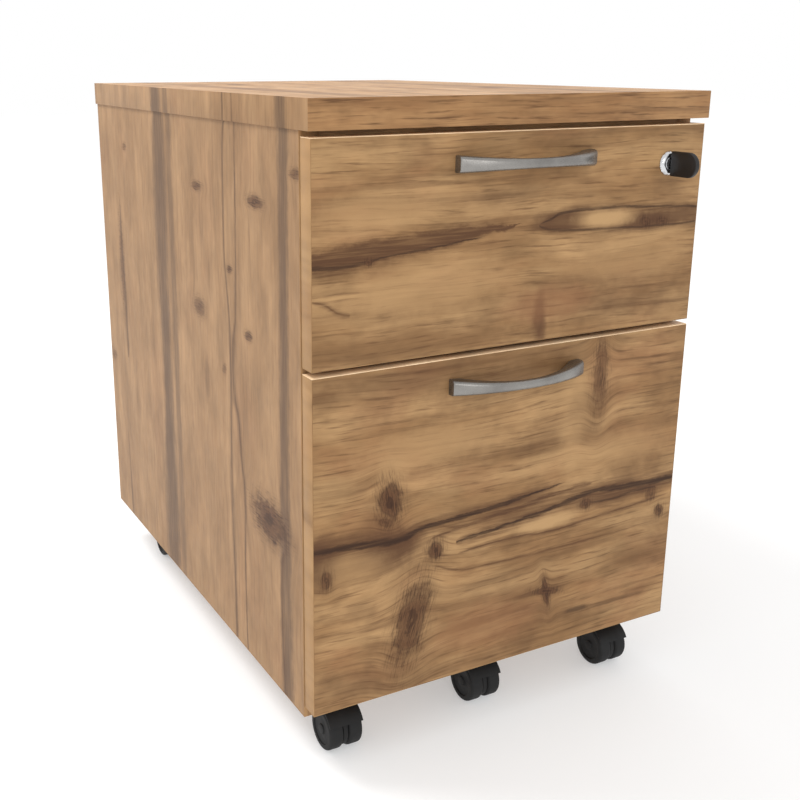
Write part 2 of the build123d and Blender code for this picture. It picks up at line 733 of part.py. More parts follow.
z_bottom_box, z_top_box = z_boxes
nodes = {
    "top_panel": top_panel(),
    "left_side_panel": side_panel(-1),
    "right_side_panel": side_panel(1),
    "cross_rail": cross_rail(),
    "back_panel": back_panel(),
    "base_panel": base_panel(),
    "panel_dowels": panel_dowels(),
    "panel_cams": panel_cams(),
    "cabinet_screws": cabinet_screws(),
    "cabinet_rails": cabinet_rails(),
    "top_middle_rails": middle_rails(z_top_box),
    "bottom_middle_rails": middle_rails(z_bottom_box),
    "top_ball_cages": ball_cages(z_top_box),
    "bottom_ball_cages": ball_cages(z_bottom_box),
    "top_drawer_rails": drawer_rails(z_top_box),
    "bottom_drawer_rails": drawer_rails(z_bottom_box),
    "top_drawer_front": top_drawer_front(),
    "bottom_drawer_front": bottom_drawer_front(),
    "top_drawer_sides": drawer_sides(z_top_box, top_box_height),
    "bottom_drawer_sides": drawer_sides(z_bottom_box, bottom_box_height),
    "top_drawer_back": drawer_back(z_top_box, top_box_height),
    "bottom_drawer_back": drawer_back(z_bottom_box, bottom_box_height),
    "top_drawer_bottom": drawer_bottom(z_top_box),
    "bottom_drawer_bottom": drawer_bottom(z_bottom_box),
    "top_handle": handle(z_top_front_high),
    "bottom_handle": handle(z_bottom_front_high),
    "top_handle_screws": handle_screws(z_top_front_high),
    "bottom_handle_screws": handle_screws(z_bottom_front_high),
    "file_rails": file_rails(),
    "lock_housing": lock_housing(),
    "lock_plug": lock_plug(),
    "lock_cam": lock_cam(),
    "key_blade": key_blade(),
    "key_head": key_head(),
    "locking_bar": locking_bar(),
    "locking_bar_guides": locking_bar_guides(),
    "top_drawer_catch": drawer_catch(z_top_box),
    "bottom_drawer_catch": drawer_catch(z_bottom_box),
    "castor_plates": castor_plates(),
    "drawer_castor_bracket": drawer_castor_bracket(),
}
for castor_name, castor_side, castor_y in castor_points:
    nodes.update(castor_nodes(castor_name, castor_side * x_castor, castor_y, 0))
nodes.update(castor_nodes("middle", 0, y_drawer_castor, drawer_castor_floor_gap))

os.makedirs("parts", exist_ok=True)
for node_name, shape in nodes.items():
    export_step(shape, os.path.join("parts", node_name + ".step"))
drawer_travel = runner_length - runner_stop_length
print(len(nodes), "nodes, drawer travel", drawer_travel, "bar travel", round(bar_travel, 3))
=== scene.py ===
import bpy
import json
import math
from mathutils import Matrix, Vector


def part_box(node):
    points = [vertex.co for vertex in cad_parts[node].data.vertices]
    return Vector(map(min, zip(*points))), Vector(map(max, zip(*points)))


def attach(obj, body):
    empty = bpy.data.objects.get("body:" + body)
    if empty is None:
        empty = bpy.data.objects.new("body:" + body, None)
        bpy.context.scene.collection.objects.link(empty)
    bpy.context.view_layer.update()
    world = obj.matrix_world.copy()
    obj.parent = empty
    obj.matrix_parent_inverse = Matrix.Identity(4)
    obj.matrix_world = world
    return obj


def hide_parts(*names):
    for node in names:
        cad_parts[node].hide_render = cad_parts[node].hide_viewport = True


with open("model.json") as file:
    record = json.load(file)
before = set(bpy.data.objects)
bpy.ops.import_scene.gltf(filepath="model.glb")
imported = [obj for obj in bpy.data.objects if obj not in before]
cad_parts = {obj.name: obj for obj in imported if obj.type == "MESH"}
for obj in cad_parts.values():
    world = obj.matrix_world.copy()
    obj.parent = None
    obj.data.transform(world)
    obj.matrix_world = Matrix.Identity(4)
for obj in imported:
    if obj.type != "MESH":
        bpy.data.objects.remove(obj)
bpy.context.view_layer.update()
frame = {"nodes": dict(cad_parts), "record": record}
cadNodes = frame["nodes"]
slotOfNode = {part["node"]: part["material_slot"] for part in frame["record"]["subparts"]}
recordedBodies = frame["record"]["behaviour"]["bodies"]
bodyOfNode = {node: body for body, members in recordedBodies.items() for node in members}
axisNames = ("X", "Y", "Z")
print("frame loaded:", len(cadNodes), "nodes")


# small helpers for selecting and finishing pieces

def chooseOnly(*pieces):
    bpy.ops.object.select_all(action="DESELECT")
    for piece in pieces:
        piece.select_set(True)
    bpy.context.view_layer.objects.active = pieces[-1]


def applyPlace(piece):
    chooseOnly(piece)
    bpy.ops.object.transform_apply(location=True, rotation=True, scale=True)


def applyModifier(piece, kind, **settings):
    chooseOnly(piece)
    modifier = piece.modifiers.new(kind.lower(), kind)
    for name, value in settings.items():
        setattr(modifier, name, value)
    bpy.ops.object.modifier_apply(modifier=modifier.name)


meshLimits = {"roundAngle": 40, "smoothAngle": 35, "mergeDistance": 0.000005}


def roundEdges(piece, width, segments=2, angle=meshLimits["roundAngle"]):
    applyModifier(piece, "BEVEL", width=width, segments=segments, limit_method="ANGLE",
                  angle_limit=math.radians(angle), use_clamp_overlap=True)


def smoothByAngle(piece, angle=meshLimits["smoothAngle"]):
    chooseOnly(piece)
    bpy.ops.object.shade_smooth_by_angle(angle=math.radians(angle))


def cleanNormals(piece):
    chooseOnly(piece)
    bpy.ops.object.mode_set(mode="EDIT")
    bpy.ops.mesh.select_all(action="SELECT")
    bpy.ops.mesh.remove_doubles(threshold=meshLimits["mergeDistance"])
    bpy.ops.mesh.normals_make_consistent(inside=False)
    bpy.ops.object.mode_set(mode="OBJECT")


def finishPiece(piece, name, body, material, replaced=()):
    piece.name = name
    piece.data.materials.clear()
    piece.data.materials.append(material)
    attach(piece, body)
    if replaced:
        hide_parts(*replaced)


def blockBetween(low, high):
    bpy.ops.object.select_all(action="DESELECT")
    middle = [(a + b) / 2 for a, b in zip(low, high)]
    bpy.ops.mesh.primitive_cube_add(size=1, location=middle)
    piece = bpy.context.active_object
    piece.scale = [b - a for a, b in zip(low, high)]
    applyPlace(piece)
    return piece


def joined(pieces):
    chooseOnly(*pieces)
    bpy.ops.object.join()
    return bpy.context.active_object


# small helpers for shader trees

def feed(tree, socket, value):
    if isinstance(value, bpy.types.NodeSocket):
        tree.links.new(value, socket)
    else:
        socket.default_value = value


def calc(tree, operation, *values, clamp=False):
    node = tree.nodes.new("ShaderNodeMath")
    node.operation = operation
    node.use_clamp = clamp
    for socket, value in zip(node.inputs, values):
        feed(tree, socket, value)
    return node.outputs[0]


def vectorCalc(tree, operation, *values):
    node = tree.nodes.new("ShaderNodeVectorMath")
    node.operation = operation
    for socket, value in zip(node.inputs, values):
        feed(tree, socket, value)
    return node.outputs["Value" if operation == "LENGTH" else "Vector"]


def rangeOf(tree, value, low, high, outLow=0.0, outHigh=1.0, kind="SMOOTHSTEP"):
    node = tree.nodes.new("ShaderNodeMapRange")
    node.interpolation_type = kind
    for socket, entry in zip(node.inputs, (value, low, high, outLow, outHigh)):
        feed(tree, socket, entry)
    return node.outputs[0]


def mixColor(tree, factor, first, second, blend="MIX"):
    node = tree.nodes.new("ShaderNodeMix")
    node.data_type = "RGBA"
    node.blend_type = blend
    for index, value in ((0, factor), (6, first), (7, second)):
        feed(tree, node.inputs[index], value)
    return node.outputs[2]


def noiseOf(tree, vector, scale, detail=2.0, roughness=0.5, distortion=0.0):
    node = tree.nodes.new("ShaderNodeTexNoise")
    for name, value in (("Vector", vector), ("Scale", scale), ("Detail", detail),
                        ("Roughness", roughness), ("Distortion", distortion)):
        feed(tree, node.inputs[name], value)
    return node.outputs[0]


def stretched(tree, vector, factors):
    return vectorCalc(tree, "MULTIPLY", vector, factors)


def separated(tree, vector):
    node = tree.nodes.new("ShaderNodeSeparateXYZ")
    feed(tree, node.inputs[0], vector)
    return node.outputs


def combined(tree, x, y, z):
    node = tree.nodes.new("ShaderNodeCombineXYZ")
    for socket, value in zip(node.inputs, (x, y, z)):
        feed(tree, socket, value)
    return node.outputs[0]


def shade(red, green, blue):
    # a colour as a paint picker gives it, turned into scene light
    shares = [value / 255 for value in (red, green, blue)]
    linear = [((share + 0.055) / 1.055) ** 2.4 if share > 0.04 else share / 12.92 for share in shares]
    return (*linear, 1.0)


def newGroup(name, inputs, outputs):
    tree = bpy.data.node_groups.new(name, "ShaderNodeTree")
    for label, kind, value in inputs:
        socket = tree.interface.new_socket(name=label, in_out="INPUT", socket_type="NodeSocket" + kind)
        if value is not None:
            socket.default_value = value
    for label, kind in outputs:
        tree.interface.new_socket(name=label, in_out="OUTPUT", socket_type="NodeSocket" + kind)
    return tree, tree.nodes.new("NodeGroupInput").outputs, tree.nodes.new("NodeGroupOutput").inputs


def useGroup(tree, group, **values):
    node = tree.nodes.new("ShaderNodeGroup")
    node.node_tree = group
    for name, value in values.items():
        feed(tree, node.inputs[name], value)
    return node.outputs


def newMaterial(name, **shaderValues):
    material = bpy.data.materials.new(name)
    material.use_nodes = True
    tree = material.node_tree
    shader = tree.nodes["Principled BSDF"]
    for label, value in shaderValues.items():
        shader.inputs[label.replace("_", " ")].default_value = value
    return material, tree, shader


def objectPlace(tree):
    return tree.nodes.new("ShaderNodeTexCoord").outputs["Object"]


def bumpFrom(tree, shader, height, strength, distance):
    node = tree.nodes.new("ShaderNodeBump")
    node.inputs["Strength"].default_value = strength
    node.inputs["Distance"].default_value = distance
    tree.links.new(height, node.inputs["Height"])
    tree.links.new(node.outputs[0], shader.inputs["Normal"])


# shared effects: board grain, knots, cracks, moulded plastic and brushed metal

grainLooks = {
    "sway": {"scale": (3.0, 7.0, 1.0), "reach": 0.026},
    "blotch": {"scale": (6.0, 26.0, 1.0), "detail": 4.0, "range": (0.38, 0.64)},
    "warm": {"scale": (7.0, 11.0, 1.0), "range": (0.5, 0.72, 0.0, 0.35)},
    "rings": {"scale": (3.0, 170.0, 1.0), "range": (0.48, 0.7), "share": 0.75, "depth": 0.5},
    "dashes": {"scale": (20.0, 330.0, 1.0), "range": (0.5, 0.74), "share": 1.5},
    "streaks": {"scale": (2.6, 34.0, 1.0), "range": (0.5, 0.72)},
    "patches": {"scale": (11.0, 19.0, 1.0), "detail": 4.0, "range": (0.5, 0.68), "share": 0.8},
    "fibre": {"scale": (30.0, 900.0, 30.0), "rough": 0.65, "range": (0.25, 0.75, 0.9, 1.08),
              "gloss": (0.3, 0.7, 0.42, 0.58)},
    "cloud": {"scale": (16.0, 30.0, 1.0), "rough": 0.7, "range": (0.3, 0.7, -0.16, 0.14)},
}


def grainNoise(tree, place, look):
    values = grainLooks[look]
    vector = stretched(tree, place, values["scale"])
    return noiseOf(tree, vector, 1.0, values.get("detail", 3.0), values.get("rough", 0.6))


def grainMask(tree, place, look, strength):
    spots = rangeOf(tree, grainNoise(tree, place, look), *grainLooks[look]["range"])
    return calc(tree, "MULTIPLY", spots, strength)


def makeBoardGrain():
    # Vector runs along the grain in x, across it in y and into the board in z
    tree, given, result = newGroup(
        "boardGrain",
        [("Vector", "Vector", None), ("Flow", "Float", 0.0), ("Seed", "Float", 0.0),
         ("Light", "Color", shade(206, 170, 125)), ("Middle", "Color", shade(178, 138, 96)),
         ("Dark", "Color", shade(120, 84, 56)), ("Warm", "Color", shade(170, 124, 90)),
         ("Streaks", "Float", 0.5)],
        [("Color", "Color"), ("Roughness", "Float"), ("Height", "Float")])
    along, across, depth = separated(tree, given["Vector"])
    shifted = calc(tree, "ADD", depth, given["Seed"])
    bentAcross = calc(tree, "ADD", across, given["Flow"])
    place = combined(tree, along, bentAcross, shifted)
    swayNoise = noiseOf(tree, stretched(tree, place, grainLooks["sway"]["scale"]), 1.0, 3.0)
    sway = calc(tree, "MULTIPLY", calc(tree, "SUBTRACT", swayNoise, 0.5), grainLooks["sway"]["reach"])
    place = combined(tree, along, calc(tree, "ADD", bentAcross, sway), shifted)
    blotch = grainNoise(tree, place, "blotch")
    lightShare = rangeOf(tree, blotch, *grainLooks["blotch"]["range"])
    color = mixColor(tree, lightShare, given["Middle"], given["Light"])
    warm = grainNoise(tree, place, "warm")
    color = mixColor(tree, rangeOf(tree, warm, *grainLooks["warm"]["range"]), color, given["Warm"])
    ringMask = rangeOf(tree, grainNoise(tree, place, "rings"), *grainLooks["rings"]["range"])
    dashMask = grainMask(tree, place, "dashes", given["Streaks"])
    streakMask = grainMask(tree, place, "streaks", given["Streaks"])
    patchMask = grainMask(tree, place, "patches", given["Streaks"])
    ringStrength = calc(tree, "MULTIPLY", given["Streaks"], grainLooks["rings"]["share"])
    for mask in (calc(tree, "MULTIPLY", patchMask, grainLooks["patches"]["share"]),
                 calc(tree, "MULTIPLY", ringMask, ringStrength),
                 calc(tree, "MULTIPLY", dashMask, grainLooks["dashes"]["share"], clamp=True), streakMask):
        color = mixColor(tree, mask, color, given["Dark"])
    fibre = grainNoise(tree, place, "fibre")
    cloud = grainNoise(tree, place, "cloud")
    tone = calc(tree, "ADD", rangeOf(tree, fibre, *grainLooks["fibre"]["range"], "LINEAR"),
                rangeOf(tree, cloud, *grainLooks["cloud"]["range"], "LINEAR"))
    color = mixColor(tree, 1.0, color, combined(tree, tone, tone, tone), "MULTIPLY")
    dent = calc(tree, "MULTIPLY", ringMask, grainLooks["rings"]["depth"])
    tree.links.new(color, result["Color"])
    tree.links.new(rangeOf(tree, fibre, *grainLooks["fibre"]["gloss"], "LINEAR"), result["Roughness"])
    tree.links.new(calc(tree, "SUBTRACT", fibre, dent), result["Height"])
    return tree


knotLooks = {
    "rag": {"scale": 70.0, "reach": 1.3},
    "core": (1.35, 0.55),
    "halo": (2.3, 0.7),
    "rings": {"count": 7.5, "start": 0.4, "range": (-0.4, 1.0)},
    "rays": {"scale": (650.0, 60.0, 1.0), "range": (0.46, 0.66)},
    "bulge": {"fall": -0.3, "push": -0.55},
}


def makeKnotMark():
    # Size is the half length along the grain and the half width across it
    tree, given, result = newGroup(
        "knotMark",
        [("Vector", "Vector", None), ("Place", "Vector", None), ("Size", "Vector", None),
         ("Tilt", "Float", 0.0), ("Strength", "Float", 1.0)],
        [("Core", "Float"), ("Halo", "Float"), ("Ring", "Float"), ("Rays", "Float"), ("Offset", "Float")])
    rough = noiseOf(tree, given["Vector"], knotLooks["rag"]["scale"], 3.0, 0.6)
    flat = stretched(tree, vectorCalc(tree, "SUBTRACT", given["Vector"], given["Place"]), (1.0, 1.0, 0.0))
    turn = tree.nodes.new("ShaderNodeVectorRotate")
    turn.rotation_type = "Z_AXIS"
    feed(tree, turn.inputs["Vector"], flat)
    feed(tree, turn.inputs["Angle"], given["Tilt"])
    reach = vectorCalc(tree, "LENGTH", vectorCalc(tree, "DIVIDE", turn.outputs[0], given["Size"]))
    rag = calc(tree, "MULTIPLY", calc(tree, "SUBTRACT", rough, 0.5), knotLooks["rag"]["reach"])
    ragged = calc(tree, "ADD", reach, rag)
    core = calc(tree, "MULTIPLY", rangeOf(tree, ragged, *knotLooks["core"]), given["Strength"])
    halo = calc(tree, "MULTIPLY", rangeOf(tree, ragged, *knotLooks["halo"]), given["Strength"])
    phase = calc(tree, "MULTIPLY", ragged, knotLooks["rings"]["count"])
    wave = calc(tree, "SINE", calc(tree, "ADD", phase, knotLooks["rings"]["start"]))
    ring = calc(tree, "MULTIPLY", rangeOf(tree, wave, *knotLooks["rings"]["range"]),
                calc(tree, "MULTIPLY", core, halo))
    fine = noiseOf(tree, stretched(tree, turn.outputs[0], knotLooks["rays"]["scale"]), 1.0, 3.0, 0.65)
    rays = calc(tree, "MULTIPLY", rangeOf(tree, fine, *knotLooks["rays"]["range"]), halo)
    fall = calc(tree, "MULTIPLY", calc(tree, "POWER", reach, 2.0), knotLooks["bulge"]["fall"])
    rise = calc(tree, "MULTIPLY", separated(tree, flat)[1], calc(tree, "EXPONENT", fall))
    offset = calc(tree, "MULTIPLY", rise, knotLooks["bulge"]["push"])
    for name, value in (("Core", core), ("Halo", halo), ("Ring", ring), ("Rays", rays), ("Offset", offset)):
        tree.links.new(value, result[name])
    return tree


crackLooks = {
    "rag": {"scale": (60.0, 130.0, 1.0)},
    "inner": {"scale": (16.0, 420.0, 1.0), "line": (0.3, 0.62, 0.55, 1.0), "halo": (0.35, 0.6, 0.4, 1.0)},
    "leastWidth": 0.00001,
    "shown": (0.0001, 0.0006),
    "lineEnd": 0.5,
    "haloEnd": 0.6,
}


def makeCrackLine():
    # Centre and Width are curves along the grain; Rag makes the edges ragged
    tree, given, result = newGroup(
        "crackLine",
        [("Vector", "Vector", None), ("Centre", "Float", 0.0), ("Width", "Float", 0.001),
         ("Rag", "Float", 0.002), ("Spread", "Float", 4.5), ("Edge", "Float", 1.4)],
        [("Line", "Float"), ("Halo", "Float")])
    across = separated(tree, given["Vector"])[1]
    rough = noiseOf(tree, stretched(tree, given["Vector"], crackLooks["rag"]["scale"]), 1.0, 4.0, 0.65)
    rag = calc(tree, "MULTIPLY", calc(tree, "SUBTRACT", rough, 0.5), given["Rag"])
    moved = calc(tree, "ADD", across, rag)
    away = calc(tree, "ABSOLUTE", calc(tree, "SUBTRACT", moved, given["Centre"]))
    share = calc(tree, "DIVIDE", away, calc(tree, "MAXIMUM", given["Width"], crackLooks["leastWidth"]))
    shown = rangeOf(tree, given["Width"], *crackLooks["shown"])
    inner = noiseOf(tree, stretched(tree, given["Vector"], crackLooks["inner"]["scale"]), 1.0, 3.0, 0.6)
    for name, reach, end, texture in (("Line", given["Edge"], crackLooks["lineEnd"], "line"),
                                      ("Halo", given["Spread"], crackLooks["haloEnd"], "halo")):
        mask = calc(tree, "MULTIPLY", rangeOf(tree, share, reach, end), shown)
        mask = calc(tree, "MULTIPLY", mask, rangeOf(tree, inner, *crackLooks["inner"][texture]))
        tree.links.new(mask, result[name])
    return tree


skinLooks = {"patch": 45.0, "patchRange": (0.45, 0.75), "patchShare": 0.35, "gloss": (0.3, 0.7, -0.06, 0.1)}


def makeMouldedSkin():
    tree, given, result = newGroup(
        "mouldedSkin",
        [("Vector", "Vector", None), ("Grain", "Float", 2200.0), ("Gloss", "Float", 0.42),
         ("Tone", "Color", shade(30, 30, 31)), ("Worn", "Color", shade(44, 43, 43))],
        [("Color", "Color"), ("Roughness", "Float"), ("Height", "Float")])
    fine = noiseOf(tree, given["Vector"], given["Grain"], 2.0)
    wide = noiseOf(tree, given["Vector"], skinLooks["patch"], 3.0, 0.6)
    lifted = mixColor(tree, rangeOf(tree, wide, *skinLooks["patchRange"]), given["Tone"], given["Worn"])
    gloss = calc(tree, "ADD", given["Gloss"], rangeOf(tree, wide, *skinLooks["gloss"]))
    tree.links.new(mixColor(tree, skinLooks["patchShare"], given["Tone"], lifted), result["Color"])
    tree.links.new(gloss, result["Roughness"])
    tree.links.new(fine, result["Height"])
    return tree


brushLooks = {"patch": 30.0, "patchRange": (0.35, 0.75), "marks": (0.3, 0.8, 0.0, 0.4),
              "gloss": (0.3, 0.7, -0.05, 0.08)}


def makeBrushedFinish():
    # Grain gives how fine the marks are along each axis
    tree, given, result = newGroup(
        "brushedFinish",
        [("Vector", "Vector", None), ("Grain", "Vector", (80.0, 3000.0, 3000.0)), ("Gloss", "Float", 0.35),
         ("Tone", "Color", shade(160, 161, 164)), ("Worn", "Color", shade(120, 121, 124))],
        [("Color", "Color"), ("Roughness", "Float"), ("Height", "Float")])
    marks = noiseOf(tree, vectorCalc(tree, "MULTIPLY", given["Vector"], given["Grain"]), 1.0, 3.0, 0.6)
    wide = noiseOf(tree, given["Vector"], brushLooks["patch"], 3.0, 0.6)
    color = mixColor(tree, rangeOf(tree, wide, *brushLooks["patchRange"]), given["Tone"], given["Worn"])
    color = mixColor(tree, rangeOf(tree, marks, *brushLooks["marks"]), color, given["Worn"])
    gloss = calc(tree, "ADD", given["Gloss"], rangeOf(tree, marks, *brushLooks["gloss"]))
    tree.links.new(color, result["Color"])
    tree.links.new(gloss, result["Roughness"])
    tree.links.new(marks, result["Height"])
    return tree


boardGrain = makeBoardGrain()
knotMark = makeKnotMark()
crackLine = makeCrackLine()
mouldedSkin = makeMouldedSkin()
brushedFinish = makeBrushedFinish()
print("shader groups ready")


# oak board: grain, then bands, stains, cracks and knots laid over it

oakTones = {
    "light": shade(174, 138, 96),
    "middle": shade(146, 111, 74),
    "dark": shade(92, 63, 41),
    "warm": shade(148, 101, 70),
    "pale": shade(184, 148, 104),
    "band": shade(86, 58, 39),
    "crack": shade(54, 36, 26),
    "knotRim": shade(94, 64, 43),
    "knotCore": shade(54, 34, 24),
}


def pathValue(tree, along, points, column, span):
    # a smooth curve through points of (along, across, half width); column picks which one it returns
    start, end = points[0][0], points[-1][0]
    low, high = span
    curve = tree.nodes.new("ShaderNodeFloatCurve")
    knots = [((point[0] - start) / (end - start), (point[column] - low) / (high - low)) for point in points]
    line = curve.mapping.curves[0]
    line.points[0].location = knots[0]
    line.points[1].location = knots[-1]
    for knot in knots[1:-1]:
        line.points.new(*knot)
    curve.mapping.update()
    tree.links.new(rangeOf(tree, along, start, end, kind="LINEAR"), curve.inputs["Value"])
    return rangeOf(tree, curve.outputs[0], 0.0, 1.0, low, high, "LINEAR")


markLooks = {
    "specular": 0.14, "bumpStrength": 0.25, "bumpHeight": 0.0002,
    "pathMargin": 0.002,      # metres added beside a path's course
    "wideFrom": 0.004,        # half width from which a path counts as wide
    "wideSpread": 2.0, "narrowSpread": 5.0,
    "softEdge": 2.3, "crispEdge": 1.4,
    "pathHalo": 0.85,
    "knotLayers": (("Halo", 0.35, "knotRim"), ("Core", 0.9, "knotRim"),
                   ("Ring", 0.7, "knotCore"), ("Rays", 0.85, "knotCore")),
}


def oakMaterial(name, grainAxes, origin, marks, tones, seed, streaks):
    # grainAxes: the object axes that run along the grain, across it and into the board
    material, tree, shader = newMaterial(name, Specular_IOR_Level=markLooks["specular"])
    place = separated(tree, vectorCalc(tree, "SUBTRACT", objectPlace(tree), origin))
    axes = [place[axisNames.index(axis)] for axis in grainAxes]
    vector = combined(tree, *axes)
    along = axes[0]

    knots = [useGroup(tree, knotMark, Vector=vector, Place=(x, y, 0.0), Size=(halfLong, halfWide, 1.0),
                      Tilt=math.radians(tilt), Strength=strength)
             for x, y, halfLong, halfWide, tilt, strength in marks.get("knots", ())]
    flow = 0.0
    for knot in knots:
        flow = calc(tree, "ADD", knot["Offset"], flow)
    grain = useGroup(tree, boardGrain, Vector=vector, Flow=flow, Seed=seed, Streaks=streaks,
                     Light=tones["light"], Middle=tones["middle"], Dark=tones["dark"], Warm=tones["warm"])
    color = grain["Color"]

    for x, y, halfLong, halfWide, toneName, strength in marks.get("stains", ()):
        stain = useGroup(tree, knotMark, Vector=vector, Place=(x, y, 0.0),
                         Size=(halfLong, halfWide, 1.0), Strength=strength)
        color = mixColor(tree, stain["Halo"], color, tones[toneName])
    for points, toneName, strength, rag in marks.get("paths", ()):
        courses = [point[1] for point in points]
        span = (min(courses) - markLooks["pathMargin"], max(courses) + markLooks["pathMargin"])
        widths = (0.0, max(point[2] for point in points))
        isSoft = toneName == "grey"
        isWide = widths[1] > markLooks["wideFrom"]
        path = useGroup(tree, crackLine, Vector=vector, Rag=rag,
                        Spread=markLooks["wideSpread" if isWide else "narrowSpread"],
                        Edge=markLooks["softEdge" if isSoft else "crispEdge"],
                        Centre=pathValue(tree, along, points, 1, span),
                        Width=pathValue(tree, along, points, 2, widths))
        haloTone = tones["grey" if isSoft else "band"]
        haloMask = calc(tree, "MULTIPLY", path["Halo"], markLooks["pathHalo"] * strength)
        color = mixColor(tree, haloMask, color, haloTone)
        color = mixColor(tree, calc(tree, "MULTIPLY", path["Line"], strength), color, tones[toneName])
    for knot in knots:
        for layer, share, toneName in markLooks["knotLayers"]:
            color = mixColor(tree, calc(tree, "MULTIPLY", knot[layer], share), color, tones[toneName])
    tree.links.new(color, shader.inputs["Base Color"])
    tree.links.new(grain["Roughness"], shader.inputs["Roughness"])
    bumpFrom(tree, shader, grain["Height"], markLooks["bumpStrength"], markLooks["bumpHeight"])
    return material


# marks in metres, from the lower left corner of the board that they lie on:
# knots are (along, across, half length, half width, tilt, strength),
# stains (along, across, half length, half width, tone, strength),
# paths ([(along, across, half width), ...], tone, strength, ragged edge)

topFrontMarks = {
    "knots": [(0.053, 0.088, 0.0035, 0.0025, 0, 0.8),
              (0.352, 0.1015, 0.006, 0.004, 0, 0.8), (0.373, 0.100, 0.007, 0.003, 0, 0.8)],
    "stains": [(0.252, 0.108, 0.020, 0.006, "band", 0.75), (0.345, 0.102, 0.026, 0.006, "band", 0.85),
               (0.392, 0.105, 0.030, 0.005, "band", 0.7), (0.303, 0.108, 0.020, 0.006, "pale", 0.9),
               (0.310, 0.035, 0.070, 0.018, "dark", 0.3), (0.090, 0.014, 0.080, 0.010, "dark", 0.3),
               (0.174, 0.122, 0.009, 0.016, "dark", 0.16), (0.274, 0.130, 0.008, 0.014, "dark", 0.14),
               (0.232, 0.022, 0.0045, 0.014, "knotRim", 0.75), (0.236, 0.010, 0.003, 0.008, "knotRim", 0.5),
               (0.240, 0.034, 0.030, 0.010, "warm", 0.35), (0.060, 0.130, 0.040, 0.010, "light", 0.6),
               (0.110, 0.060, 0.050, 0.016, "light", 0.6), (0.320, 0.070, 0.050, 0.014, "light", 0.5)],
    "paths": [
        ([(0.0, 0.092, 0.0065), (0.05, 0.096, 0.008), (0.10, 0.101, 0.007), (0.14, 0.104, 0.006),
          (0.17, 0.106, 0.0035), (0.21, 0.109, 0.0)], "band", 0.8, 0.012),
        ([(0.0, 0.087, 0.0013), (0.03, 0.086, 0.0022), (0.07, 0.091, 0.0008), (0.10, 0.094, 0.001),
          (0.18, 0.102, 0.0)], "crack", 0.7, 0.004),
        ([(0.226, 0.107, 0.0), (0.240, 0.111, 0.0010), (0.262, 0.117, 0.0016), (0.32, 0.117, 0.0012),
          (0.36, 0.115, 0.0012), (0.417, 0.112, 0.0010)], "crack", 0.7, 0.003),
        ([(0.226, 0.106, 0.0), (0.245, 0.101, 0.0014), (0.27, 0.099, 0.0012), (0.34, 0.097, 0.0010),
          (0.417, 0.097, 0.0010)], "crack", 0.6, 0.003),
        ([(0.0, 0.060, 0.0), (0.012, 0.056, 0.001), (0.026, 0.047, 0.001), (0.036, 0.045, 0.0)],
         "dark", 0.6, 0.002),
    ],
}

